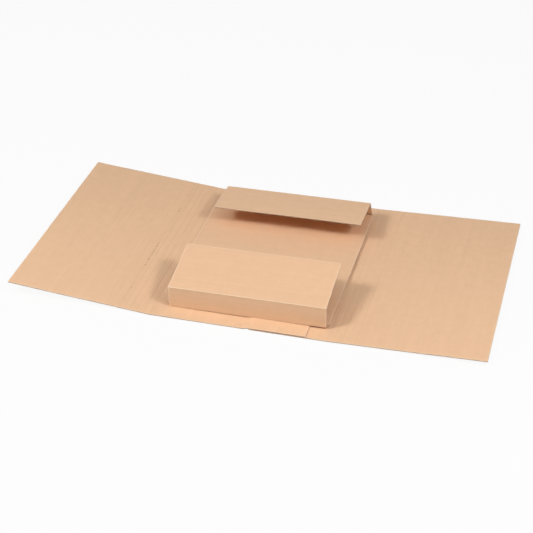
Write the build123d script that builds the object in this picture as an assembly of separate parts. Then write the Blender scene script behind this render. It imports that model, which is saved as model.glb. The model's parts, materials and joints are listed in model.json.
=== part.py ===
from build123d import *
from math import atan2, cos, degrees, radians, sin, sqrt, tan
import os

# A wrap-round mailer for books and papers, lying open on its back.
# Three die-cut corrugated boards are glued together: a cross-shaped inner tray with two end walls and
# their flaps, and two outer sheets that lap under the tray and wrap round it from the left and right.
# X runs across the mailer, Y runs away from the viewer, Z is up.
# The origin is the middle of the tray base in plan, on the surface that the mailer lies on.

# board and creases
board = 1.6
score_pitch = 10.0
score_width = 1.6
score_depth = 0.6
bead_radius = 0.4
socket_radius = 0.65
mitre_gap = 0.1
glue_film = 0.1
square_fold = 95.0
widest_wall_fold = 122.0

# outer sheets
sheet_depth = 384.0
crease_x = 132.5
side_height = 40.0
left_reach = 222.0
right_reach = 228.7
left_rise = 5.1
right_rise = 1.7
side_scores = 3
wing_scores = 3
seam_x = 101.0
lap_x = 17.0
lap_clearance = 0.5
step_length = 10.0
wing_corner = 1.5

# perforation that the closed mailer is torn open along
perforation_reach = 47.4
slit_length = 5.0
slit_tie = 3.0
slit_width = 0.5

# inner tray
base_width = 258.0
tray_length = 330.0
wall_width = 237.0
wall_offset = 7.1
wall_height = 33.5
wall_scores = 2
flap_scores = 4
near_flap_reach = 97.0
far_flap_reach = 79.0
near_wall_fold = 90.0
near_flap_fold = 79.7
far_wall_fold = 116.3
far_flap_fold = 59.9
flap_corner = 1.5
left_relief = 36.0
right_relief = 8.0
relief_start = 2.4

# closing strip on the hidden face of the right wing
strip_width = 20.0
strip_inset = 10.0
strip_end_gap = 12.0
strip_thickness = 0.15
liner_overlap = 2.0
liner_thickness = 0.1

# glue between the boards
glue_end_gap = 45.0
lap_bead_width = 12.0
lap_bead_edges = (21.0, 79.0)
tray_bead_width = 16.0
tray_bead_edges = (-125.0, 20.0)

# heights and the slope of the tray, which lies on the flat board at its left and on the step of the lap
lap_underside = board + glue_film
lap_top = lap_underside + board
tray_left_z = board + glue_film
step_end_x = lap_x - lap_clearance
step_start_x = step_end_x - step_length
tray_tilt = degrees(atan2(lap_top + glue_film - tray_left_z, base_width / 2 + step_end_x))
axis_y = tray_length / 2 - bead_radius
axis_spacing = wall_height - 2 * bead_radius

TO_LEFT = Vector(-1, 0, 0)
TO_RIGHT = Vector(1, 0, 0)
TO_NEAR = Vector(0, -1, 0)
TO_FAR = Vector(0, 1, 0)
UP = Vector(0, 0, 1)


def mitre_points(widest_fold, radius):
    """Where the slanted face of a crease leaves the circle round its fold axis, and where it meets the inner face."""
    slant = radians(90 - widest_fold / 2)

    def point(distance):
        along = distance * cos(slant) + mitre_gap * sin(slant)
        through = bead_radius + distance * sin(slant) - mitre_gap * cos(slant)
        return along, through

    end_distance = (board - bead_radius + mitre_gap * cos(slant)) / sin(slant)
    return point(sqrt(radius**2 - mitre_gap**2)), point(end_distance)


def bead_end(widest_fold):
    """The round edge that a panel turns on, with its fold axis at s = 0. Returns its edges and their last point."""
    start, end = mitre_points(widest_fold, bead_radius)
    return [ThreePointArc((0, 0), (-bead_radius, bead_radius), start), Line(start, end)], end


def socket_end(axis_s, widest_fold):
    """The hollow that the next panel's round edge turns in. Returns its edges, their first and their last point."""
    start, end = mitre_points(widest_fold, socket_radius)
    first = (axis_s - sqrt(socket_radius**2 - bead_radius**2), 0)
    middle = (axis_s - socket_radius, bead_radius)
    start = (axis_s - start[0], start[1])
    last = (axis_s - end[0], end[1])
    return [ThreePointArc(first, middle, start), Line(start, last)], first, last


def scored_line(from_s, to_s, count):
    """The inner face of the board, with a V pressed in at each of the count scores."""
    points = [(from_s, board)]
    for i in range(1, count + 1):
        score = i * score_pitch
        points.append((score - score_width / 2, board))
        points.append((score, board - score_depth))
        points.append((score + score_width / 2, board))
    points.append((to_s, board))
    return Polyline(*points)


def panel_section(reach, score_count, root_fold, tip_fold=None):
    """A panel's section: s runs along the board from the fold axis, and n through it from its outer face."""
    root, root_top = bead_end(root_fold)
    if tip_fold is None:
        tip = [Line((reach, 0), (reach, board))]
        foot = (reach, 0)
        tip_top = (reach, board)
    else:
        tip, foot, tip_top = socket_end(reach, tip_fold)
    inner = scored_line(root_top[0], tip_top[0], score_count)
    return make_face(Curve() + root + tip + [Line((0, 0), foot), inner])


def fold_frame(axis_point, outward, fold):
    """The plane of a panel's section. A fold of 0 lies flat and points outward, and one of 90 stands upright."""
    along = outward * cos(radians(fold)) + UP * sin(radians(fold))
    inward = UP * cos(radians(fold)) - outward * sin(radians(fold))
    return Plane(axis_point - inward * bead_radius, x_dir=along, z_dir=outward.cross(UP))


def next_axis(frame, reach):
    return frame.from_local_coords(Vector(reach, bead_radius, 0))


def across(frame, section, width):
    return extrude(frame * section, width / 2, both=True)


def rounded(panel, radius):
    """Rounds the two corners of the free end, whose edges are the only straight ones as long as the board is thick."""
    corners = panel.edges().filter_by(GeomType.LINE).filter_by(lambda edge: abs(edge.length - board) < 1e-4)
    return fillet(corners, radius)


def side_panel(frame):
    return across(frame, panel_section(side_height, side_scores, square_fold, square_fold), sheet_depth)


def wing(frame, reach):
    section = panel_section(reach - side_height, wing_scores, square_fold)
    return rounded(across(frame, section, sheet_depth), wing_corner)


def perforation(frame):
    """The row of slits, with ties of board between them."""
    pitch = slit_length + slit_tie
    count = int((sheet_depth - slit_tie) / pitch)
    slit = Box(slit_width, 3 * board, slit_length)
    s = perforation_reach - side_height
    first = -(count - 1) * pitch / 2
    return [frame.location * Pos(s, board / 2, first + i * pitch) * slit for i in range(count)]


def step_curve(start, end):
    """Two arcs that carry the board from one level to another and leave it flat at both ends."""
    middle = ((start[0] + end[0]) / 2, (start[1] + end[1]) / 2)
    ahead = (end[0] - start[0], 0)
    back = (-ahead[0], 0)
    return [TangentArc(start, middle, tangent=ahead), TangentArc(end, middle, tangent=back)]


def left_sheet_base():
    """The left sheet under the tray: flat on the floor, then stepped up to lap over the right sheet."""
    socket, foot, inner_end = socket_end(crease_x, square_fold)
    low = -step_start_x
    high = -step_end_x
    edges = socket + [
        Line(foot, (low, 0)),
        *step_curve((low, 0), (high, lap_underside)),
        Line((high, lap_underside), (-seam_x, lap_underside)),
        Line((-seam_x, lap_underside), (-seam_x, lap_top)),
        Line((-seam_x, lap_top), (high, lap_top)),
        *step_curve((high, lap_top), (low, board)),
        Line((low, board), inner_end),
    ]
    return across(sheet_plane(TO_LEFT), make_face(Curve() + edges), sheet_depth)


def right_sheet_base():
    """The right sheet under the tray, flat on the floor, with its end lapped by the left one."""
    socket, foot, inner_end = socket_end(crease_x, square_fold)
    outline = Polyline(foot, (lap_x, 0), (lap_x, board), inner_end)
    return across(sheet_plane(TO_RIGHT), make_face(Curve() + socket + [outline]), sheet_depth)


def sheet_plane(outward):
    return Plane((0, 0, 0), x_dir=outward, z_dir=outward.cross(UP))


def side_lobe(wall_x, edge_x, relief):
    """The part of the tray base beside the walls, cut back in a curve to each end of them."""
    end_y = axis_y - relief_start
    corner_y = end_y - relief
    outline = [
        Line((wall_x, -end_y), (wall_x, end_y)),
        TangentArc((edge_x, corner_y), (wall_x, end_y), tangent=(0, 1)),
        Line((edge_x, corner_y), (edge_x, -corner_y)),
        TangentArc((edge_x, -corner_y), (wall_x, -end_y), tangent=(0, -1)),
    ]
    return extrude(make_face(Curve() + outline), board)


def tray_base():
    socket, foot, inner_end = socket_end(axis_y, widest_wall_fold)
    far_end = Curve() + socket
    near_end = mirror(far_end, about=Plane.YZ)
    faces = [Line((-foot[0], 0), foot), Line((-inner_end[0], board), inner_end)]
    middle = across(tray_plane(), make_face(Curve() + [*far_end.edges(), *near_end.edges()] + faces), wall_width)
    left = side_lobe(wall_offset - wall_width / 2, -base_width / 2, left_relief)
    right = side_lobe(wall_offset + wall_width / 2, base_width / 2, right_relief)
    return middle + left + right


def tray_plane():
    return Plane((wall_offset, 0, 0), x_dir=TO_FAR, z_dir=TO_FAR.cross(UP))


def end_wall(outward, wall_fold, flap_fold, flap_reach):
    """A wall folded up from the end of the tray base, and the flap that is folded over from its top."""
    foot = outward * axis_y + UP * bead_radius + TO_RIGHT * wall_offset
    wall_frame = fold_frame(foot, outward, wall_fold)
    wall_section = panel_section(axis_spacing, wall_scores, widest_wall_fold, square_fold)
    wall = across(wall_frame, wall_section, wall_width)
    flap_frame = fold_frame(next_axis(wall_frame, axis_spacing), outward, wall_fold + flap_fold)
    flap_section = panel_section(flap_reach, flap_scores, square_fold)
    return wall, rounded(across(flap_frame, flap_section, wall_width), flap_corner)


def strip_on(frame, width, overlap, lower, upper):
    """A strip stuck along the free edge of the right wing, between two depths below its outer face."""
    s = right_reach - side_height - strip_inset - strip_width / 2
    length = sheet_depth - 2 * strip_end_gap + 2 * overlap
    strip = Box(width + 2 * overlap, upper - lower, length)
    return frame.location * Pos(s, (lower + upper) / 2, 0) * strip


def glue_bead(left_x, width, bottom_z, top_left_z, top_right_z):
    right_x = left_x + width
    outline = Polyline(
        (left_x, bottom_z), (right_x, bottom_z), (right_x, top_right_z), (left_x, top_left_z), close=True
    )
    return across(sheet_plane(TO_RIGHT), make_face(outline), sheet_depth - 2 * glue_end_gap)


def tray_underside(x):
    return tray_left_z + (x + base_width / 2) * tan(radians(tray_tilt))


def lap_glue():
    beads = [glue_bead(x, lap_bead_width, board, lap_underside, lap_underside) for x in lap_bead_edges]
    return Compound(beads)


def tray_glue():
    levels = zip(tray_bead_edges, (board, lap_top))
    beads = [
        glue_bead(x, tray_bead_width, z, tray_underside(x), tray_underside(x + tray_bead_width))
        for x, z in levels
    ]
    return Compound(beads)


def build():
    left_side_frame = fold_frame(TO_LEFT * crease_x + UP * bead_radius, TO_LEFT, left_rise)
    left_wing_frame = fold_frame(next_axis(left_side_frame, side_height), TO_LEFT, left_rise)
    right_side_frame = fold_frame(TO_RIGHT * crease_x + UP * bead_radius, TO_RIGHT, right_rise)
    right_wing_frame = fold_frame(next_axis(right_side_frame, side_height), TO_RIGHT, right_rise)
    near_wall, near_flap = end_wall(TO_NEAR, near_wall_fold, near_flap_fold, near_flap_reach)
    far_wall, far_flap = end_wall(TO_FAR, far_wall_fold, far_flap_fold, far_flap_reach)
    pivot = Pos(-base_width / 2, 0, 0)
    tilt = Pos(0, 0, tray_left_z) * pivot * Rot(0, -tray_tilt, 0) * pivot.inverse()
    liner_bottom = -strip_thickness - liner_thickness
    return {
        "left_sheet_base": left_sheet_base(),
        "left_side_panel": side_panel(left_side_frame),
        "left_wing": wing(left_wing_frame, left_reach) - perforation(left_wing_frame),
        "right_sheet_base": right_sheet_base(),
        "right_side_panel": side_panel(right_side_frame),
        "right_wing": wing(right_wing_frame, right_reach),
        "adhesive_strip": strip_on(right_wing_frame, strip_width, 0, -strip_thickness, 0),
        "release_liner": strip_on(
            right_wing_frame, strip_width, liner_overlap, liner_bottom, -strip_thickness
        ),
        "tray_base": tilt * tray_base(),
        "near_wall": tilt * near_wall,
        "near_flap": tilt * near_flap,
        "far_wall": tilt * far_wall,
        "far_flap": tilt * far_flap,
        "lap_glue": lap_glue(),
        "tray_glue": tray_glue(),
    }


os.makedirs("parts", exist_ok=True)
for name, shape in build().items():
    export_step(shape, f"parts/{name}.step")
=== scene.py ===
# %% [markdown]
# # A wrap-round mailer, lying open
# The object is a postal mailer for a stack of papers: three die-cut pieces of thin corrugated board, glued
# together. Two outer sheets lie flat on the table and lap under a cross-shaped tray. The tray has a wall
# folded up at each end, and each wall carries a flap that is folded in over what is packed.
# The solid model already fixes every size and every fold axis. It could simply be given a paper finish, but
# then its edges would be solid, and real board is hollow. So each solid panel is replaced here by real
# corrugated board: two sheets of kraft paper with a wavy paper between them.

# %% Load the solid model
import json
from dataclasses import dataclass
from math import asin, ceil, cos, pi, radians, sin, sqrt

import bmesh
import bpy
from mathutils import Matrix, Vector, noise

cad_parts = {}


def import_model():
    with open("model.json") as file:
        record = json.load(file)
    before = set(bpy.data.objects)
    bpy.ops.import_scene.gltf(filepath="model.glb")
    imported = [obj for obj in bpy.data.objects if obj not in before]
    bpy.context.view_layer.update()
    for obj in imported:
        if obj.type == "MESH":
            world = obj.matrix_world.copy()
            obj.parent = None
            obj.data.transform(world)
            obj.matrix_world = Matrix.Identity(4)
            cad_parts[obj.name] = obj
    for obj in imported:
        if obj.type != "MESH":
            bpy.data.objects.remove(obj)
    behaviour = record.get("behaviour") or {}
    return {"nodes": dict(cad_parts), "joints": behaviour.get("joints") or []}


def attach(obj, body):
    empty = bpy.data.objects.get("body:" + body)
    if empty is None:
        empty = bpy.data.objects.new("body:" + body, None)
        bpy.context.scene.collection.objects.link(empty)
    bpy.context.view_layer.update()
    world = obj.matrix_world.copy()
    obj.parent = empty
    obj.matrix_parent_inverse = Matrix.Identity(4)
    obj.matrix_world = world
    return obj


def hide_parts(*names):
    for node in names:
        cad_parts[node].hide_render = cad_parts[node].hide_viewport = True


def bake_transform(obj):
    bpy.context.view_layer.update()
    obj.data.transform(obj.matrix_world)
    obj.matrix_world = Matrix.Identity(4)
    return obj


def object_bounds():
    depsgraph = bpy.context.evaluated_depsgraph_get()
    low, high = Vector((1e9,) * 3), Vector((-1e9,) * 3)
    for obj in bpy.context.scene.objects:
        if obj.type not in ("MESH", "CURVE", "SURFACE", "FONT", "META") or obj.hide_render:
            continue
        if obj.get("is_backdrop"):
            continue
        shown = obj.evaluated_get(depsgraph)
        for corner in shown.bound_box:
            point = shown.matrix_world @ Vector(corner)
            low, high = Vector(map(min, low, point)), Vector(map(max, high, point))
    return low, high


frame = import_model()
solid_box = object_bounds()
joints = {joint["name"]: joint for joint in frame["joints"]}
print("solid nodes:", len(frame["nodes"]), "fold axes and slides:", len(joints))

# %% [markdown]
# ## The board
# The board is 1.6 mm thick and has about three flutes to the centimetre, which packers call fine flute.
# Blender works in metres, so sizes could be typed as small decimals, but a reader checks them more easily
# as the millimetres of a drawing. Each is written once, times `MM`, in the cell that first needs it.
# The fold axis lies close to the outer face, because the outer paper is what holds two panels together.

# %% Sizes of the board
MM = 0.001
board = 1.6 * MM
paper = 0.22 * MM
flute_paper = 0.16 * MM
flute_pitch = 3.3 * MM
axis_height = 0.4 * MM
valley_reach = 2.4 * MM
print("board", board, "m thick, flute pitch", flute_pitch, "m")

# %% [markdown]
# ## Shader sums written as sums
# A procedural finish is worked out by nodes, not painted, and it is mostly arithmetic on patterns. The
# nodes could be added and linked one by one, but a sum of six patterns would then fill a page. So a small
# class wraps one output socket, and `0.5 + 0.1 * grain` adds the Math nodes by itself.

# %% A socket that can be added and multiplied


class Value:
    """An output socket of a finish. Sums and products with it add Math nodes."""

    def __init__(self, finish, socket):
        self.finish = finish
        self.socket = socket

    def math(self, operation, first, second):
        return self.finish.node("ShaderNodeMath", {0: first, 1: second}, operation=operation)

    def __add__(self, other):
        return self.math("ADD", self, other)

    def __sub__(self, other):
        return self.math("SUBTRACT", self, other)

    def __mul__(self, other):
        return self.math("MULTIPLY", self, other)

    def __rsub__(self, other):
        return self.math("SUBTRACT", other, self)

    __radd__ = __add__
    __rmul__ = __mul__


print("sums of sockets are ready")

# %% [markdown]
# ## One method for every other node
# A node is always made in the same three steps: it is added, its settings are chosen, and its sockets get
# values or links. One method does all three, and the short methods below it give the patterns that paper
# needs a plain name. A finish can belong to a material or to the world, since both have a node tree.

# %% The nodes of a finish


class Finish:
    """The node tree of a material or a world. It starts empty."""

    def __init__(self, owner):
        owner.use_nodes = True
        self.owner = owner
        self.tree = owner.node_tree
        self.tree.nodes.clear()

    def node(self, kind, inputs=None, output=0, **settings):
        """Adds a node with its settings, then fills its sockets, and gives one of its outputs."""
        made = self.tree.nodes.new(kind)
        for setting, value in settings.items():
            setattr(made, setting, value)
        for key, value in (inputs or {}).items():
            if isinstance(value, Value):
                self.tree.links.new(value.socket, made.inputs[key])
            else:
                made.inputs[key].default_value = value
        return Value(self, made.outputs[output]) if made.outputs else None

    def attribute(self, name):
        return self.node("ShaderNodeAttribute", output="Fac", attribute_name=name)

    def stretched(self, vector, factors):
        """A factor below 1 draws a pattern out along that direction."""
        return self.node("ShaderNodeVectorMath", {0: vector, 1: factors}, operation="MULTIPLY")

    def noise(self, vector, per_metre, detail=2.0):
        return self.node("ShaderNodeTexNoise", {"Vector": vector, "Scale": per_metre, "Detail": detail})

    def between(self, value, low, high):
        """0 below low, 1 above high and smooth between them."""
        inputs = {"Value": value, "From Min": low, "From Max": high}
        return self.node("ShaderNodeMapRange", inputs, interpolation_type="SMOOTHSTEP")

    def mixed(self, share, first, second):
        """A colour between two colours."""
        inputs = {0: share, 6: first, 7: second}
        return self.node("ShaderNodeMix", inputs, output=2, data_type="RGBA", clamp_factor=True)

    def bump(self, height, depth):
        return self.node("ShaderNodeBump", {"Height": height, "Distance": depth})

    def surface(self, inputs):
        shader = self.node("ShaderNodeBsdfPrincipled", inputs)
        self.node("ShaderNodeOutputMaterial", {"Surface": shader})
        return self.owner


def new_finish(name):
    return Finish(bpy.data.materials.new(name))


def rgb(red, green, blue):
    return (red, green, blue, 1.0)


print("finish helper ready")

# %% [markdown]
# ## Kraft paper
# The liners are brown kraft: wood fibres of one to three millimetres that lie mostly one way, cloudy where
# the pulp is thicker, with a few dark shives. The paper sinks a little between the flute tips, and there
# faint bands of painted shade darken it. The dips of creases and scores and the rims of the slits are
# darkened too, as painted shade. Cut rims and the outside of a fold are paler, partly as scuffed fibres and
# partly as a painted highlight.
# A picture of paper would do from afar, but it blurs close up and repeats. Layers of noise don't, so each
# habit of the paper is a noise of its own size, most of them drawn out along the flutes, and a little
# sheen stands for the fibres that stick up.
# The pattern follows each board through its folds, so it reads a UV map that holds the flat board's own
# measures in metres: the first number runs across the flutes and the second along them.

# %% Kraft liner paper
kraft_light = rgb(0.85, 0.545, 0.335)
kraft_dark = rgb(0.70, 0.435, 0.25)
# The next colour is pale scuffed fibre and also a painted highlight on cut rims and fold edges.
kraft_worn_highlight = rgb(0.93, 0.72, 0.54)
kraft_shive = rgb(0.36, 0.21, 0.12)
clouds_per_metre = 70.0
ribs_per_metre = 110.0
rib_stretch = (1.0, 0.03, 1.0)
streaks_per_metre = 420.0
streak_stretch = (1.0, 0.06, 1.0)
fibres_per_metre = 3200.0
fibre_stretch = (1.0, 0.16, 1.0)
crossings_per_metre = 2400.0
crossing_stretch = (0.35, 1.0, 1.0)
shives_per_metre = 1300.0
shive_stretch = (1.0, 0.14, 1.0)
shive_low = 0.735
shive_high = 0.775
cloud_tone = 0.45
streak_tone = 0.35
rib_tone = 0.28
weave_tone = 2.2
# The next tone darkens the paper between the flute tips as painted shade; the same bands also feed the bump.
band_shade_tone = 0.04
# The next tone darkens the dips of creases and scores and round the slits, as painted shade.
press_shade_tone = 0.22
# How far rims and fold edges turn pale, partly scuffing and partly painted highlight.
worn_highlight_cover = 0.6
shive_cover = 0.55
weave_depth = 0.13 * MM


def kraft_liner():
    finish = new_finish("kraft_liner")
    place = finish.node("ShaderNodeUVMap", uv_map="board")
    across = finish.node("ShaderNodeSeparateXYZ", {0: place})
    clouds = finish.noise(place, clouds_per_metre, detail=3.0)
    ribs = finish.noise(finish.stretched(place, rib_stretch), ribs_per_metre, detail=1.0)
    streaks = finish.noise(finish.stretched(place, streak_stretch), streaks_per_metre)
    fibres = finish.noise(finish.stretched(place, fibre_stretch), fibres_per_metre, detail=3.0)
    crossing = finish.noise(finish.stretched(place, crossing_stretch), crossings_per_metre)
    specks = finish.noise(finish.stretched(place, shive_stretch), shives_per_metre, detail=1.0)
    shives = finish.between(specks, shive_low, shive_high)
    bands = finish.node("ShaderNodeMath", {0: across * (2 * pi / flute_pitch)}, operation="SINE")
    # This attribute is the share of painted shade in the pressed dips.
    pressed = finish.attribute("pressed")
    worn = finish.attribute("worn")
    weave = 0.6 * fibres + 0.4 * crossing
    tone = 0.5 + cloud_tone * (clouds - 0.5) + streak_tone * (streaks - 0.5) + rib_tone * (ribs - 0.5)
    # The band and press terms darken the paper as painted shade: between the flute tips and in the dips.
    tone = tone + weave_tone * (weave - 0.5) + band_shade_tone * bands - press_shade_tone * pressed
    paper_colour = finish.mixed(tone, kraft_dark, kraft_light)
    # Rims and the outside of folds turn pale here: partly scuffing, partly painted highlight.
    scuffed_and_highlit = finish.mixed(worn_highlight_cover * worn, paper_colour, kraft_worn_highlight)
    colour = finish.mixed(shive_cover * shives, scuffed_and_highlit, kraft_shive)
    relief = weave + 0.15 * streaks + 0.1 * bands
    return finish.surface(
        {
            "Base Color": colour,
            "Roughness": 0.70 + 0.22 * weave,
            "Normal": finish.bump(relief, weave_depth),
            "Sheen Weight": 0.2,
            "Sheen Roughness": 0.5,
        }
    )


kraft = kraft_liner()
print("made", kraft.name)

# %% [markdown]
# ## Fluted paper and cut edges
# The wavy paper inside is softer and darker than the liners, because it is made of shorter, recycled
# fibres. It shows at the cut edges, where it lies in the shadow of the liners, and its finish is also put at
# the bottom of the slits as painted shade.
# The knife leaves the liners' cut edges raw and woolly.
# The kraft finish could serve for both, but its map knows nothing of the paper's thickness, so it would be
# smeared across a cut edge. A plainer finish of clouds and short fibres on Object coordinates isn't, and
# it needs no map.

# %% Fluted paper and raw edge
raw_clouds_per_metre = 240.0
raw_depth = 0.05 * MM


def raw_paper(name, light, dark, raw_fibres_per_metre):
    finish = new_finish(name)
    place = finish.node("ShaderNodeTexCoord", output="Object")
    clouds = finish.noise(place, raw_clouds_per_metre)
    fibres = finish.noise(place, raw_fibres_per_metre, detail=3.0)
    colour = finish.mixed(finish.between(0.5 * clouds + 0.5 * fibres, 0.35, 0.65), dark, light)
    return finish.surface(
        {
            "Base Color": colour,
            "Roughness": 0.86 + 0.1 * fibres,
            "Normal": finish.bump(fibres, raw_depth),
        }
    )


fluting_and_slit_shade = raw_paper(
    "fluted_paper",
    light=rgb(0.46, 0.30, 0.19),
    dark=rgb(0.33, 0.20, 0.12),
    raw_fibres_per_metre=1800.0,
)
raw_edge = raw_paper(
    "raw_edge",
    light=rgb(0.66, 0.45, 0.30),
    dark=rgb(0.50, 0.33, 0.21),
    raw_fibres_per_metre=2600.0,
)
print("made", fluting_and_slit_shade.name, "and", raw_edge.name)

# %% [markdown]
# ## The panels of a board
# A real mailer is cut and creased while the board is flat, and only then folded. A panel could be modelled
# where it stands, but a sloping wavy sheet is hard to cut. So each panel is modelled flat, as the maker
# does it, and then put where the solid model has it.
# In the flat, `s` runs across the flutes away from the panel's fold axis, `v` runs along the fold, and the
# height runs through the board, from 0 on the outer face to 1.6 mm on the inner one.
# A panel starts a little before its fold axis, inside its neighbour, so the fold is in one piece with it.

# %% A panel and its place


@dataclass
class Panel:
    """A flat panel: its place, its outline, its pressed lines and its share of the whole board."""

    name: str
    place: Matrix
    # The outline: least and most s, least and most v, which ends are cut edges, and the corners' radius.
    start: float
    end: float
    low: float
    high: float
    free_start: bool = False
    free_end: bool = False
    corner: float = 0.0
    # The fold at its root: the angle that it has turned, and how deep the crease is pressed.
    root_fold: float = 0.0
    root_valley: float = 0.0
    # The scores beside the fold: their number and how hard they are pressed, and if a row of slits is cut.
    scores: int = 0
    score_press: float = 1.0
    slits: bool = False
    # Where its fold axis lies on the whole flat board, and which way along the board it runs, 1 or -1.
    board_start: float = 0.0
    board_way: int = 1
    # How high a free panel bows, and the lines across a stretch that rises.
    bow: float = 0.0
    step_lines: tuple = ()


def placed(point, along, axis):
    """The flat panel's own axes, set at a point of its fold axis."""
    inward = axis.cross(along).normalized()
    origin = point - axis_height * inward
    turned = Matrix((along, -axis, inward)).transposed()
    return Matrix.Translation(origin) @ turned.to_4x4()


def joint_point(name):
    return Vector(joints[name]["pos_m"])


def joint_axis(name):
    return Vector(joints[name]["axis"]).normalized()


print("a panel is placed by its fold axis and the way it runs")

# %% [markdown]
# ## Side panels and wings
# Beside the tray each outer sheet has a side panel, which covers the height of what is packed, and a long
# wing, which closes over it. They rise a few degrees from the table, because a crease springs back.
# The angles could be typed in, but then a panel might miss the axis that it turns on. The joints of the
# solid model give two fold axes, and the side panel simply runs from one to the next.
# On the left sheet the scores are pressed harder than on the right one, and only its wing has tear slits.

# %% Panels of the outer sheets
sheet_half = 192.0 * MM
crease_x = 132.5 * MM
side_height = 40.0 * MM
left_reach = 222.0 * MM
right_reach = 228.7 * MM
valley_outer = 0.20 * MM
left_press = 2.2
right_press = 1.3
free_corner = 1.5 * MM
wing_bow = 0.25 * MM


def outer_sheet(side, outward, reach, score_press):
    """The side panel and the wing of one outer sheet."""
    side_fold = side + "_side_fold"
    wing_fold = side + "_wing_fold"
    axis = joint_axis(side_fold)
    along = (joint_point(wing_fold) - joint_point(side_fold)).normalized()
    side_panel = Panel(
        name=side + "_side_panel",
        place=placed(joint_point(side_fold), along, axis),
        start=-valley_reach,
        end=side_height - valley_reach,
        low=-sheet_half,
        high=sheet_half,
        root_fold=along.angle(outward),
        root_valley=valley_outer,
        scores=3,
        score_press=score_press,
        board_start=crease_x,
    )
    wing = Panel(
        name=side + "_wing",
        place=placed(joint_point(wing_fold), along, axis),
        start=-valley_reach,
        end=reach - side_height,
        low=-sheet_half,
        high=sheet_half,
        free_end=True,
        corner=free_corner,
        root_valley=valley_outer,
        scores=3,
        slits=side == "left",
        board_start=crease_x + side_height,
        bow=wing_bow,
    )
    return side_panel, wing


left_side_panel, left_wing = outer_sheet("left", Vector((-1, 0, 0)), left_reach, left_press)
right_side_panel, right_wing = outer_sheet("right", Vector((1, 0, 0)), right_reach, right_press)
for panel in (left_side_panel, right_side_panel):
    print(panel.name, "rises by", round(panel.root_fold * 180 / pi, 1), "degrees")

# %% [markdown]
# ## End walls and flaps
# At each end of the tray a wall stands up, and from its top a flap is folded in. As before, the joints give
# the directions: a wall runs from its own axis to its flap's. No further axis follows the flap, so its
# direction is the wall's, turned by the flap's fold, which the joint's range gives.
# The near wall and flap run the other way along the tray's board than the far ones, so that the pattern of
# the paper runs on from the base into both.

# %% Panels of the tray's ends
wall_half = 118.5 * MM
wall_height = 32.7 * MM
near_flap_reach = 97.0 * MM
far_flap_reach = 79.0 * MM
valley_tray = 1.13 * MM
flap_bow = 0.2 * MM
fold_y = abs(joints["near_wall_fold"]["pos_m"][1])


def end_wall(end, outward, reach, board_way):
    """The wall at one end of the tray and the flap folded in from its top."""
    wall_fold = end + "_wall_fold"
    flap_fold = end + "_flap_fold"
    axis = joint_axis(wall_fold)
    up = (joint_point(flap_fold) - joint_point(wall_fold)).normalized()
    turn = radians(-joints[flap_fold]["range_deg"][0])
    over = Matrix.Rotation(turn, 3, axis) @ up
    wall = Panel(
        name=end + "_wall",
        place=placed(joint_point(wall_fold), up, axis),
        start=-valley_reach,
        end=wall_height - valley_reach,
        low=-wall_half,
        high=wall_half,
        root_fold=up.angle(outward),
        root_valley=valley_tray,
        scores=2,
        board_start=fold_y,
        board_way=board_way,
    )
    flap = Panel(
        name=end + "_flap",
        place=placed(joint_point(flap_fold), over, axis),
        start=-valley_reach,
        end=reach,
        low=-wall_half,
        high=wall_half,
        free_end=True,
        corner=free_corner,
        root_fold=turn,
        root_valley=valley_tray,
        scores=4,
        board_start=fold_y + wall_height,
        board_way=board_way,
        bow=flap_bow,
    )
    return wall, flap


near_wall, near_flap = end_wall("near", Vector((0, -1, 0)), near_flap_reach, board_way=-1)
far_wall, far_flap = end_wall("far", Vector((0, 1, 0)), far_flap_reach, board_way=1)
for panel in (near_wall, near_flap, far_wall, far_flap):
    print(panel.name, "turns by", round(panel.root_fold * 180 / pi, 1), "degrees")

# %% [markdown]
# ## How a line is pressed
# A crease is a line where a steel rule has crushed the flutes, so that the inner liner dips towards the
# outer one and the board can turn without tearing. A score is the same on a smaller scale.
# A bump in the finish could show them, but it would vanish at the silhouette and in the bare mesh. So each
# is a real dip of the liner, with one soft run for all of them, deeper or shallower. No real dip is even
# along its length, so a slow noise makes a score deeper here and fainter there.

# %% The run of a dip
score_pitch = 10.0 * MM
score_reach = 1.3 * MM
score_depth = 0.15 * MM
score_level = 0.8
score_change = 0.35
score_change_run = 31 * MM
seed_step = 7.3


def dip(distance, reach):
    """1 on a pressed line, 0 from reach on, with a soft run between them."""
    x = min(abs(distance) / reach, 1.0)
    return 1 - x * x * (3 - 2 * x)


def unevenness(panel, s, v, run):
    """A slow variation between about -1 and 1 that is different on every panel."""
    seed = panel.board_start + panel.board_way + len(panel.name)
    return 2 * noise.noise(Vector((s / run, v / run, seed * seed_step)))


def score_depth_at(panel, i, v):
    """How deep the score number i is pressed at v."""
    change = score_change * unevenness(panel, i * score_pitch, v, score_change_run)
    press = panel.score_press * (score_level + change)
    return press * score_depth


print("a score is", score_depth, "m deep, a crease", valley_outer, "m")

# %% [markdown]
# ## How far the slits open
# The left wing has a row of short slits, so that the closed mailer can be torn open. A blade makes them, so
# on flat board they would all be shut. Here the wing sags where it hangs free of the table, and some slits
# gape while others stay shut.
# They could all be cut alike, but then they read as a printed dotted line. So a noise gives each slit its
# own opening, the soft run of a dip makes those near the sag open more, and each is widest at its middle.

# %% Sizes and opening of the slits
slit_s = 7.4 * MM
slit_length = 5.0 * MM
slit_tie = 3.0 * MM
slit_pitch = slit_length + slit_tie
slit_half_width = 0.70 * MM
slit_shut = 0.08
slit_closed = 0.01
slit_reach = 1.7 * MM
slit_press = 0.08 * MM
slit_depth = 0.25 * MM
slit_sag_v = 25.0 * MM
slit_sag_reach = 65.0 * MM
slit_least_sag = 0.4
slit_noise_gain = 3.2
slit_noise_power = 0.8
slit_noise_step = 0.63
slit_noise_place = (4.1, 0.7)
slit_count = int((2 * sheet_half - slit_tie) / slit_pitch)


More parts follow.
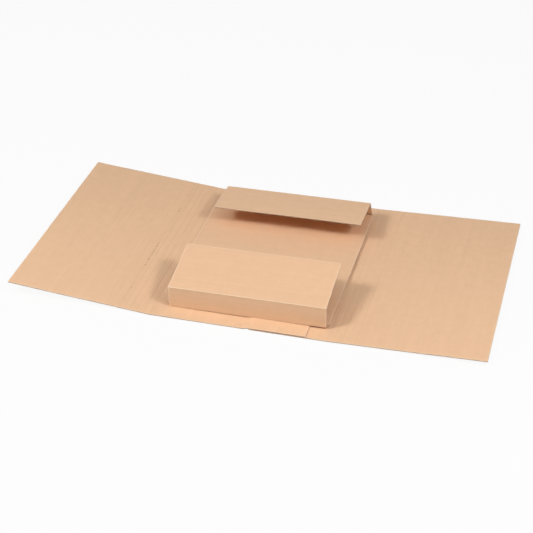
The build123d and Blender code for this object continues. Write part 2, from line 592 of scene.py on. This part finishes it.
def slit_start(i):
    return (i - (slit_count - 1) / 2) * slit_pitch - slit_length / 2


def slit_gape(v):
    """How far the slit at v stands open, from 0 to 1, and 0 on the ties between the slits."""
    i = round((v - slit_start(0) - slit_length / 2) / slit_pitch)
    t = (v - slit_start(i)) / slit_length
    if not 0 < t < 1:
        return 0.0
    sag = slit_least_sag + (1 - slit_least_sag) * dip(v - slit_sag_v, slit_sag_reach)
    chance = max(0.0, noise.noise(Vector((i * slit_noise_step, *slit_noise_place))))
    opening = slit_noise_gain * sag * chance**slit_noise_power
    return min(opening, 1.0) * 4 * t * (1 - t)


def slit_share(v):
    """The width of the slit at v, as a share of the widest slit's."""
    return slit_shut + (1 - slit_shut) * slit_gape(v)


print("the widest slit is", 2 * slit_half_width, "m wide")

# %% [markdown]
# ## How high the two liners lie
# The inner liner dips on every pressed line, and the knife that cuts the board out pinches the two liners
# together along the rim. The outer liner stays nearly flat and shows only a ghost of the scores. Where
# the left sheet climbs onto the right one, both rise together.
# The sheets could be sculpted, but then the three papers of a board wouldn't fit each other. Two functions
# give the height of each liner at any point of a panel, and every paper is shaped by them.

# %% Heights of the liners
rim_reach = 1.6 * MM
rim_depth = 0.28 * MM
rim_rise = 0.08 * MM
ghost_share = 0.25
lap_rise = 1.7 * MM
step_low = 6.5 * MM
step_length = 10.0 * MM


def pressed_depth(panel, s, v):
    """How deep the liner is pressed at a point by the creases, the scores and the blades of the slits."""
    lines = [(dip(s, valley_reach), panel.root_valley)]
    if panel.slits:
        lines.append((dip(s - slit_s, slit_reach), slit_press + slit_depth * slit_gape(v)))
    for i in range(1, panel.scores + 1):
        lines.append((dip(s - i * score_pitch, score_reach), score_depth_at(panel, i, v)))
    return max(share * depth for share, depth in lines)


def rim_share(panel, s, v):
    """1 on a cut edge and 0 from rim_reach on."""
    share = dip(min(panel.high - v, v - panel.low), rim_reach)
    if panel.free_end:
        share = max(share, dip(panel.end - s, rim_reach))
    if panel.free_start:
        share = max(share, dip(s - panel.start, rim_reach))
    return share


def lift(panel, s):
    """How much higher the board lies after a step: two arcs carry it from one level to the other."""
    if not panel.step_lines:
        return 0.0
    x = min(max(-s - step_low, 0.0), step_length)
    radius = (step_length**2 + lap_rise**2) / (4 * lap_rise)
    if x < step_length / 2:
        return radius - sqrt(radius**2 - x**2)
    return lap_rise - radius + sqrt(radius**2 - (step_length - x) ** 2)


def inner_height(panel, s, v):
    return board + lift(panel, s) - pressed_depth(panel, s, v) - rim_depth * rim_share(panel, s, v)


def outer_height(panel, s, v):
    ghost = ghost_share * pressed_depth(panel, s, v) if s > valley_reach else 0.0
    return lift(panel, s) + ghost + rim_rise * rim_share(panel, s, v)


print("board at a crease of the tray:", round(inner_height(near_wall, 0, 0), 5), "m")

# %% [markdown]
# ## Turning the fold
# The part of a panel that lies before its fold axis belongs to its neighbour, so it has to be turned back
# by the fold. A sharp corner would be easy to make, but crushed board bends in a small round.
# So close to the axis the turn is shared out, from none to all of it. The share of a point depends on where
# it lies beside the mitre plane, the plane half way between the two panels. A point's own turn changes
# where it lies, so its share is found in rounds, each going half way to what the last one gives.

# %% Sharing out a fold
bend_reach = 1.2 * MM
bend_clear = 0.97
bend_rounds = 24


def bend_half(fold):
    """How far from the mitre plane the paper still bends."""
    free = valley_reach * cos(fold / 2) - (board - axis_height) * sin(fold / 2)
    return min(bend_reach, bend_clear * free)


def turned_share(s, height, fold):
    """The part of the fold that a point of the flat board has made, from 0 to 1."""
    half = bend_half(fold)
    share = 0.5
    for _ in range(bend_rounds):
        lag = (share - 0.5) * fold
        along = s * cos(lag) - (height - axis_height) * sin(lag)
        t = min(max(0.5 + along / (2 * half), 0.0), 1.0)
        share = 0.5 * (share + t * t * (3 - 2 * t))
    return share


def fold_root(bm, panel):
    """Turns back what lies before the fold axis."""
    hinge = Vector((0, 0, axis_height))
    for vert in bm.verts:
        if vert.co.x < valley_reach:
            back = (1 - turned_share(vert.co.x, vert.co.z, panel.root_fold)) * panel.root_fold
            arm = Vector((vert.co.x, 0, vert.co.z)) - hinge
            moved = hinge + Matrix.Rotation(back, 3, "Y") @ arm
            vert.co = Vector((moved.x, vert.co.y, moved.z))


print("the near wall bends within", bend_half(near_wall.root_fold), "m of its mitre plane")

# %% [markdown]
# ## Flat sheets and cuts
# Every paper starts as a plain rectangle, as it comes off the roll. A grid that is everywhere fine enough
# for a crease would have millions of faces, so it stays coarse, and `bisect_plane` adds lines only where
# they are needed.
# The same operator cuts a rounded corner: a few planes touch the corner's arc, and each clears what lies
# outside it.

# %% Grid and cuts
weld = 1e-6


def grid(start, end, low, high, cell_s, cell_v):
    bm = bmesh.new()
    across = max(1, ceil((end - start) / cell_s))
    along = max(1, ceil((high - low) / cell_v))
    bmesh.ops.create_grid(bm, x_segments=across, y_segments=along, size=0.5)
    bmesh.ops.scale(bm, vec=(end - start, high - low, 1), verts=bm.verts)
    bmesh.ops.translate(bm, vec=((start + end) / 2, (low + high) / 2, 0), verts=bm.verts)
    return bm


def cut(bm, point, normal, faces=None, clear=False):
    """Adds a line where a plane crosses the faces. With clear, what lies beyond the plane goes."""
    faces = bm.faces[:] if faces is None else faces
    edges = {edge for face in faces for edge in face.edges}
    verts = {vert for face in faces for vert in face.verts}
    bmesh.ops.bisect_plane(
        bm,
        geom=[*verts, *edges, *faces],
        dist=weld,
        plane_co=point,
        plane_no=normal,
        clear_outer=clear,
    )


def cut_corner(bm, centre, radius, first, last, steps):
    """Clears what lies outside an arc, by planes that touch it."""
    for i in range(steps):
        angle = first + (last - first) * (i + 0.5) / steps
        outward = Vector((cos(angle), sin(angle), 0))
        cut(bm, Vector(centre) + radius * outward, outward, clear=True)


print("cuts closer than", weld, "m to a line are welded to it")

# %% [markdown]
# ## Lines for creases, scores and rims
# A dip is only as smooth as the lines across it. A crease gets the most, because it also bends, a score
# seven and a rim three. They are given as shares of the dip's reach, so they follow when a size changes.

# %% Extra lines and round corners
crease_lines = (-0.8, -0.6, -0.42, -0.25, -0.12, -0.05, 0, 0.05, 0.12, 0.25, 0.42, 0.6, 0.8, 1.0)
score_lines = (-1, -0.6, -0.25, 0, 0.25, 0.6, 1)
rim_lines = (0.2, 0.5, 1.0)
corner_cuts = 7


def line_places(panel):
    """Where a liner needs extra lines along the fold."""
    places = [share * valley_reach for share in crease_lines]
    for i in range(1, panel.scores + 1):
        places.extend(i * score_pitch + share * score_reach for share in score_lines)
    for share in rim_lines:
        places.append(panel.end - share * rim_reach)
        places.append(panel.start + share * rim_reach)
    places.extend(panel.step_lines)
    return places


def add_lines(bm, panel):
    for s in line_places(panel):
        cut(bm, (s, 0, 0), (1, 0, 0))
    for share in rim_lines:
        cut(bm, (0, panel.high - share * rim_reach, 0), (0, 1, 0))
        cut(bm, (0, panel.low + share * rim_reach, 0), (0, 1, 0))


def round_free_corners(bm, panel):
    if panel.corner:
        s = panel.end - panel.corner
        v = panel.high - panel.corner
        cut_corner(bm, (s, v, 0), panel.corner, 0, pi / 2, corner_cuts)
        cut_corner(bm, (s, -v, 0), panel.corner, 0, -pi / 2, corner_cuts)


print("a wing's liner gets", len(line_places(left_wing)), "extra lines along the fold")

# %% [markdown]
# ## What a paper remembers of the flat board
# Once a panel is folded, nothing in its shape tells where on the board a point lay, or how hard it was
# pressed. The pattern needs both. An unwrap could guess the first, but the flat measures are exact, so they
# go into the UV map as they are. Two attributes hold the painted shade of the pressed dips, and the
# paleness of rims and fold edges, which is partly scuffing and partly painted highlight.
# Each board gets a shift of its own, so that no two boards show the same clouds.

# %% UV map and attributes
# A dip this deep gets the full painted shade.
full_press = 0.30 * MM
# How far from a fold its outside turns pale, partly scuffing and partly painted highlight.
worn_highlight_fold_share = 0.5


def write_map(bm, panel, board_shift):
    layer = bm.loops.layers.uv.new("board")
    pressed = bm.verts.layers.float.new("pressed")
    worn = bm.verts.layers.float.new("worn")
    for vert in bm.verts:
        s, v = vert.co.x, vert.co.y
        # The pressed share is painted shade in the dips of creases, scores and slits.
        vert[pressed] = min(1.0, pressed_depth(panel, s, v) / full_press)
        # Rims and the outside of folds turn pale: partly scuffing, partly painted highlight.
        outside_fold = panel.root_valley and vert.co.z < axis_height
        outer_bend = dip(s, worn_highlight_fold_share * valley_reach) if outside_fold else 0.0
        vert[worn] = max(outer_bend, rim_share(panel, s, v))
    for face in bm.faces:
        for loop in face.loops:
            s, v = loop.vert.co.x, loop.vert.co.y
            u = panel.board_way * (panel.board_start + s)
            loop[layer].uv = (board_shift + u, panel.board_way * v)


print("a paper pressed", full_press, "m deep is at its darkest")

# %% [markdown]
# ## From a flat sheet to a finished piece
# No wide panel of board is quite flat, since one liner dries faster than the other. A modifier could bow
# a free panel, but a slow noise, a quarter of a millimetre high, is all that it needs.
# The rest is the same for every paper, so one function does it: it writes the map, bows the panel, turns the
# fold and puts the piece in place. The place goes into the mesh, and the object stays at the origin.
# `shade_smooth` rounds the look of the dips, and edges sharper than a set angle stay crisp.

# %% Finishing a piece
bow_run = 95 * MM
bow_fade = 70 * MM
sharp_degrees = 38


def slow_wave(panel, s, v):
    """A wide, slight bow of a free panel. It fades out towards the fold."""
    if not panel.bow:
        return 0.0
    share = 1 - dip(max(s - 2 * valley_reach, 0), bow_fade)
    return panel.bow * share * unevenness(panel, s, v, bow_run)


def finished(bm, panel, name, materials, board_shift):
    write_map(bm, panel, board_shift)
    for vert in bm.verts:
        vert.co.z += slow_wave(panel, vert.co.x, vert.co.y)
    if panel.root_valley:
        fold_root(bm, panel)
    bm.transform(panel.place)
    mesh = bpy.data.meshes.new(name)
    bm.to_mesh(mesh)
    bm.free()
    mesh.shade_smooth()
    mesh.set_sharp_from_angle(angle=radians(sharp_degrees))
    piece = bpy.data.objects.new(name, mesh)
    bpy.context.scene.collection.objects.link(piece)
    for material in materials:
        mesh.materials.append(material)
    return piece


print("edges sharper than", sharp_degrees, "degrees stay crisp")

# %% [markdown]
# ## The two liners
# The liners are the two flat papers of the board, with the same outline and the same lines. They could be
# made one after the other, but they share every cut. So one grid is cut, a copy of it becomes the outer
# liner, and `solidify` gives both their paper thickness inwards. The thin faces that this adds along the
# cuts get the raw edge's finish.
# At the slits the outer liner stays shut, so no light comes up from the table. Its strip below the row
# gets the darker finish of the fluted paper, as painted shade at the bottom of each slit.

# %% Making the liners
liner_cell = 7.0 * MM
slit_edge = 1.02 * slit_half_width
cut_edge_slope = 0.5


def narrow_slits(verts, share_at):
    """Moves the two sides of each slit together. The edge is a little wide, so that no side is missed."""
    for vert in verts:
        side = vert.co.x - slit_s
        if abs(side) < slit_edge:
            vert.co.x = slit_s + share_at(vert.co.y) * side


# The faces at the bottom of each slit, which get the fluted finish as painted shade.
def in_slit_shade(face):
    centre = face.calc_center_median()
    return abs(centre.x - slit_s) < slit_half_width and centre.z < board / 2


def liners(panel, board_shift, shape=None):
    bm = grid(panel.start, panel.end, panel.low, panel.high, liner_cell, liner_cell)
    add_lines(bm, panel)
    round_free_corners(bm, panel)
    if shape:
        shape(bm)
    copied = bmesh.ops.duplicate(bm, geom=bm.verts[:] + bm.edges[:] + bm.faces[:])
    lower = [item for item in copied["geom"] if isinstance(item, bmesh.types.BMFace)]
    lower_verts = {vert for face in lower for vert in face.verts}
    for vert in bm.verts:
        height = outer_height if vert in lower_verts else inner_height
        vert.co.z = height(panel, vert.co.x, vert.co.y)
    if panel.slits:
        narrow_slits(lower_verts, lambda v: slit_closed / slit_share(v))
    bmesh.ops.reverse_faces(bm, faces=lower)
    bm.normal_update()
    sheets = set(bm.faces)
    bmesh.ops.solidify(bm, geom=bm.faces[:], thickness=paper)
    bm.normal_update()
    materials = [kraft, raw_edge]
    added = [face for face in bm.faces if face not in sheets]
    for face in added:
        if abs(face.normal.z) < cut_edge_slope:
            face.material_index = materials.index(raw_edge)
    # The outer liner's strip under the slits gets the dark fluted finish as painted shade.
    if panel.slits:
        materials.append(fluting_and_slit_shade)
        for face in added:
            if in_slit_shade(face):
                face.material_index = materials.index(fluting_and_slit_shade)
    return finished(bm, panel, panel.name + "_liners", materials, board_shift)


print("liners are made from a grid of", liner_cell, "m")

# %% [markdown]
# ## The fluted paper
# Between the liners runs one wavy paper, glued to both at its crests. One wave could be drawn and repeated
# along the panel, but at a crease, a score or a rim the waves are crushed. So the paper is a grid with ten
# lines to each flute, and its waves fill just the room that the two liners leave at every point.
# It ends a little short of the cut sides, where the knife has pushed it back.

# %% Making the flutes
flutes_back = 0.15 * MM
lines_per_flute = 10
flute_cell = flute_pitch / lines_per_flute
along_cell = 26 * MM


def flutes(panel, board_shift, shape=None):
    low_side = panel.low + flutes_back
    high_side = panel.high - flutes_back
    bm = grid(panel.start, panel.end, low_side, high_side, flute_cell, along_cell)
    round_free_corners(bm, panel)
    if shape:
        shape(bm)
    for vert in bm.verts:
        s, v = vert.co.x, vert.co.y
        low = outer_height(panel, s, v) + paper + flute_paper / 2
        high = inner_height(panel, s, v) - paper - flute_paper / 2
        crest = 0.5 + 0.5 * cos(2 * pi * (panel.board_start + s) / flute_pitch)
        vert.co.z = low + max(high - low, 0.0) * crest + flute_paper / 2
    bm.normal_update()
    bmesh.ops.solidify(bm, geom=bm.faces[:], thickness=flute_paper)
    return finished(bm, panel, panel.name + "_flutes", [fluting_and_slit_shade], board_shift)


print("a wing has", round((left_wing.end - left_wing.start) / flute_pitch), "flutes")

# %% [markdown]
# ## Dressing a panel that turns
# On the real mailer a panel and its neighbour are one board, and the paper itself is the hinge. If each
# piece rode on one body alone, the paper would tear open at the crease as soon as a joint turns.
# Here both papers of a panel are only made in place, and they ride on no body.

# %% Side panels and the right wing
left_board = 0.0
right_board = 1.0
tray_board = 2.0


def both_papers(panel, board_shift, shape):
    """The liners and the flutes that stand for one solid panel."""
    for make in (liners, flutes):
        piece = make(panel, board_shift, shape)
        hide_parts(panel.name)
        print(piece.name, len(piece.data.polygons), "faces")
        yield piece


def dress(panel, parent_body, body, board_shift, shape=None):
    """Both papers of a panel, made where the solid panel lies."""
    direction = panel.place.to_3x3() @ Vector((1, 0, 0))
    axis = panel.place.to_3x3() @ Vector((0, 1, 0))
    middle = Matrix.Rotation(panel.root_fold / 2, 3, axis) @ direction
    hinge = panel.place @ Vector((0, 0, axis_height))
    reach = bend_half(panel.root_fold) * middle
    for piece in both_papers(panel, board_shift, shape):
        hinge - reach
        hinge + reach
        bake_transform(piece)


dress(left_side_panel, "mailer_base", "left_side", left_board)
dress(right_side_panel, "mailer_base", "right_side", right_board)
dress(right_wing, "right_side", "right_wing", right_board)

# %% [markdown]
# ## The tear line
# The blades of the die cut each slit through all three papers and leave a short tie to the next.
# A dark line in the finish would be quicker, but it has no depth, and a view from the side gives that
# away. So the row is cut for real: its sides and the ends of every slit are added as lines, the faces
# between them are deleted, and the two sides are then moved together by each slit's own share.
# Only faces near the row are cut, which leaves the rest of the wing as coarse as it was.

# %% Slits in the left wing
slit_near = 5 * slit_reach
slit_sides = (-slit_reach, -slit_reach / 2, -slit_half_width, slit_half_width, slit_reach / 2, slit_reach)
slit_ends = (0, 0.25, 0.5, 0.75, 1)


def beside_row(bm, reach):
    """The faces that lie within reach of the row."""
    return [f for f in bm.faces if slit_s - reach < f.calc_center_median().x < slit_s + reach]


def in_slit(face):
    v = face.calc_center_median().y
    return any(0 < v - slit_start(i) < slit_length for i in range(slit_count))


def slit_row(bm):
    for side in slit_sides:
        cut(bm, (slit_s + side, 0, 0), (1, 0, 0), beside_row(bm, slit_near))
    for i in range(slit_count):
        for share in slit_ends:
            cut(bm, (0, slit_start(i) + share * slit_length, 0), (0, 1, 0), beside_row(bm, slit_reach))
    holes = [f for f in beside_row(bm, slit_half_width) if in_slit(f)]
    bmesh.ops.delete(bm, geom=holes, context="FACES")
    narrow_slits(bm.verts, slit_share)


dress(left_wing, "left_side", "left_wing", left_board, shape=slit_row)
print("slits:", slit_count)

# %% [markdown]
# ## The sheets under the tray
# The base of each outer sheet lies flat on the table. The left one laps over the right one and is glued to
# it, so it rises by one board and its glue in a short double curve and then runs on at that height.
# A straight ramp would be simpler, but board has no sharp bend where it isn't creased. Two arcs that meet
# half way have none, and a line at every tenth of the step keeps them round.

# %% Bases of the outer sheets
seam_x = 101.0 * MM
lap_x = 17.0 * MM
step_parts = 10


def base_panel(name, outward, start, step_lines=()):
    up = Vector((0, 0, 1))
    turned = Matrix((outward, up.cross(outward), up)).transposed()
    return Panel(
        name=name,
        place=turned.to_4x4(),
        start=start,
        end=crease_x - valley_reach,
        low=-sheet_half,
        high=sheet_half,
        free_start=True,
        step_lines=step_lines,
    )


def dress_base(panel, body, board_shift, shape=None):
    """Both papers of a panel that has no fold of its own."""
    for piece in both_papers(panel, board_shift, shape):
        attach(piece, body)


step_lines = tuple(-step_low - i * step_length / step_parts for i in range(step_parts + 1))
left_base = base_panel("left_sheet_base", Vector((-1, 0, 0)), -seam_x, step_lines)
right_base = base_panel("right_sheet_base", Vector((1, 0, 0)), lap_x)
dress_base(left_base, "mailer_base", left_board)
dress_base(right_base, "mailer_base", right_board)

# %% [markdown]
# ## The base of the tray
# The base of the tray is wider than its walls. Its four corners are cut back in a curve to the foot of each
# wall, so that the board can fold there. On the left the curves are long, and on the right they are short.
# A boolean with a cylinder could cut them, but planes that touch the arc do it with the function that
# rounds the corners of a wing, and leave no slivers. A curve's width and length fix its radius.

# %% Base of the tray
tray_half = 129.0 * MM
wall_offset = 7.1 * MM
left_relief = 36.0 * MM
right_relief = 8.0 * MM
relief_y = fold_y - valley_reach
relief_cuts = 8


def tray_panel():
    point = (joint_point("near_wall_fold") + joint_point("far_wall_fold")) / 2
    return Panel(
        name="tray_base",
        place=placed(point, Vector((0, 1, 0)), joint_axis("far_wall_fold")),
        start=-relief_y,
        end=relief_y,
        low=wall_offset - tray_half,
        high=wall_offset + tray_half,
    )


tray_base = tray_panel()


def tray_outline(bm):
    """Cuts the four curves at the corners."""
    for side, reach, relief in ((1, tray_base.high, left_relief), (-1, -tray_base.low, right_relief)):
        width = reach - wall_half
        radius = (width**2 + relief**2) / (2 * width)
        turn = asin(relief / radius)
        for end in (1, -1):
            centre = (end * (relief_y - relief), side * (reach - radius), 0)
            first = side * pi / 2
            cut_corner(bm, centre, radius, first, first - side * end * turn, relief_cuts)


dress_base(tray_base, "mailer_base", tray_board, shape=tray_outline)

# %% [markdown]
# ## Walls and flaps
# The walls and flaps belong to the tray's board, so they take its shift of the pattern. They are dressed as
# the side panels are. Their folds are sharp ones, of 60 to 116 degrees, and a shallow crease would buckle
# there, so theirs are pressed almost through.

# %% Walls and flaps
for wall, flap in ((near_wall, near_flap), (far_wall, far_flap)):
    dress(wall, "mailer_base", wall.name, tray_board)
    dress(flap, wall.name, flap.name, tray_board)

# %% [markdown]
# ## Glue, adhesive strip and its liner
# The beads of glue between the boards are dried starch glue, pale and slightly glossy where they squeeze
# out. The closing strip on the hidden face of the right wing is a tacky film under a smooth paper that is
# peeled off. New pieces could be made for them, but their solids have the right shape already, so only
# the finish is new. One recipe serves all: faint clouds, a fine grain and a gloss of its own for each.

# %% Small finishes
fine_factor = 12


def coated(name, light, dark, coat_clouds_per_metre, roughness, depth):
    finish = new_finish(name)
    place = finish.node("ShaderNodeTexCoord", output="Object")
    clouds = finish.noise(place, coat_clouds_per_metre, detail=3.0)
    fine = finish.noise(place, fine_factor * coat_clouds_per_metre)
    colour = finish.mixed(finish.between(0.7 * clouds + 0.3 * fine, 0.3, 0.7), dark, light)
    return finish.surface(
        {
            "Base Color": colour,
            "Roughness": roughness + 0.12 * fine,
            "Normal": finish.bump(fine, depth),
        }
    )


glue = coated(
    "dried_glue",
    light=rgb(0.80, 0.70, 0.52),
    dark=rgb(0.66, 0.54, 0.38),
    coat_clouds_per_metre=220.0,
    roughness=0.32,
    depth=0.05 * MM,
)
film = coated(
    "tacky_film",
    light=rgb(0.84, 0.78, 0.66),
    dark=rgb(0.76, 0.69, 0.56),
    coat_clouds_per_metre=160.0,
    roughness=0.22,
    depth=0.02 * MM,
)
peel_paper = coated(
    "liner_paper",
    light=rgb(0.86, 0.83, 0.76),
    dark=rgb(0.82, 0.78, 0.70),
    coat_clouds_per_metre=90.0,
    roughness=0.42,
    depth=0.01 * MM,
)
small_finishes = {
    "lap_glue": glue,
    "adhesive_strip": film,
    "release_liner": peel_paper,
    "tray_glue": glue,
}
for node_name, material in small_finishes.items():
    node = frame["nodes"][node_name]
    node.data.materials.clear()
    node.data.materials.append(material)
print("finished", ", ".join(small_finishes))

# %% [markdown]
# ## The table
# The mailer lies on a plain pale table that melts into a white background. More light would whiten the
# floor, but it would wash out the board as well. So the floor is part lit surface, which keeps the
# mailer's shadow, and part plain white, and that part is there only for rays that the camera sees.

# %% Floor
floor_glow = 0.93
floor_grey = rgb(0.68, 0.68, 0.68)
white = rgb(1, 1, 1)
floor_half = 12.0
floor_cell = 4.0


def is_seen(finish):
    """1 for rays that the camera sees, directly, in a mirror or through glass, and 0 for all others."""
    seen = finish.node("ShaderNodeLightPath", output="Is Camera Ray")
    for ray in ("Is Glossy Ray", "Is Transmission Ray"):
        seen = seen.math("MAXIMUM", seen, finish.node("ShaderNodeLightPath", output=ray))
    return seen


def floor_finish():
    finish = new_finish("pale_floor")
    lit = finish.node("ShaderNodeBsdfDiffuse", {"Color": floor_grey})
    plain = finish.node("ShaderNodeEmission", {"Color": white, "Strength": 1.0})
    shader = finish.node("ShaderNodeMixShader", {0: floor_glow * is_seen(finish), 1: lit, 2: plain})
    finish.node("ShaderNodeOutputMaterial", {"Surface": shader})
    return finish.owner


def floor():
    bm = grid(-floor_half, floor_half, -floor_half, floor_half, floor_cell, floor_cell)
    mesh = bpy.data.meshes.new("floor")
    bm.to_mesh(mesh)
    bm.free()
    mesh.materials.append(floor_finish())
    made = bpy.data.objects.new("floor", mesh)
    bpy.context.scene.collection.objects.link(made)
    made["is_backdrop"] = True


floor()
print("the floor is", 2 * floor_half, "m wide")

# %% [markdown]
# ## World and lamps
# The light is a soft studio light from above and from both sides, stronger from the left, so that the
# walls throw a shadow either way. An even white world alone would be softer still, but it would leave no
# shadow to read the folds by. So a dim world fills the shade, one large lamp hangs high in front, and a
# smaller one stands on each side. Their power is low enough that the paper renders about as it is written.

# %% World and lamps
world_light = 0.21


def world():
    made = bpy.data.worlds.new("studio")
    bpy.context.scene.world = made
    finish = Finish(made)
    strength = world_light + (1 - world_light) * is_seen(finish)
    light = finish.node("ShaderNodeBackground", {"Color": white, "Strength": strength})
    finish.node("ShaderNodeOutputWorld", {"Surface": light})


def from_azimuth(azimuth, elevation, distance):
    """A point round the object. Azimuth 0 is in front, and 90 on the right."""
    a, e = radians(azimuth), radians(elevation)
    return distance * Vector((sin(a) * cos(e), -cos(a) * cos(e), sin(e)))


def soft_lamp(name, place, size, power):
    data = bpy.data.lights.new(name, "AREA")
    data.shape = "SQUARE"
    data.size = size
    data.energy = power
    lamp = bpy.data.objects.new(name, data)
    lamp.location = place
    lamp.rotation_euler = (-place).to_track_quat("-Z", "Y").to_euler()
    bpy.context.scene.collection.objects.link(lamp)


world()
soft_lamp("left_lamp", from_azimuth(-47.5, 44.5, 1.8), size=0.35, power=14.7)
soft_lamp("right_lamp", from_azimuth(59.5, 44.0, 1.5), size=0.28, power=8.0)
soft_lamp("high_lamp", Vector((0, -0.9, 2.6)), size=2.0, power=15.2)
print("world light", world_light)

# %% [markdown]
# ## Camera
# The camera stands where a fit to the corners of the sheets and the tray puts it: about 2.3 m away, 33
# degrees above the table and 15 degrees to the right. Blender's view could be lined up by eye, but a
# target, two angles and a distance can be read and changed one by one.

# %% Camera
camera_azimuth = 14.950
camera_elevation = 32.526
camera_roll = -0.06
camera_distance = 2275.4 * MM
camera_target = Vector((-1.32 * MM, -21.47 * MM, 0))
camera_lens = 100.21
camera_sensor = 36.0

back = from_azimuth(camera_azimuth, camera_elevation, 1.0)
camera_data = bpy.data.cameras.new("camera")
camera_data.lens = camera_lens
camera_data.sensor_width = camera_sensor
camera = bpy.data.objects.new("camera", camera_data)
camera.location = camera_target + camera_distance * back
roll = Matrix.Rotation(radians(camera_roll), 3, "Z").to_quaternion()
camera.rotation_euler = ((-back).to_track_quat("-Z", "Y") @ roll).to_euler()
bpy.context.scene.collection.objects.link(camera)
bpy.context.scene.camera = camera
bpy.context.scene.view_settings.view_transform = "Standard"
print("camera at", [round(value, 3) for value in camera.location])

# %% [markdown]
# The dressed model may not outgrow the solid one. The boxes of the solid model and of the dressed one are
# gathered side by side.

# %% Gather the boxes
boxes = {"solid": solid_box, "dressed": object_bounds()}
{name: [list(corner) for corner in box] for name, box in boxes.items()}
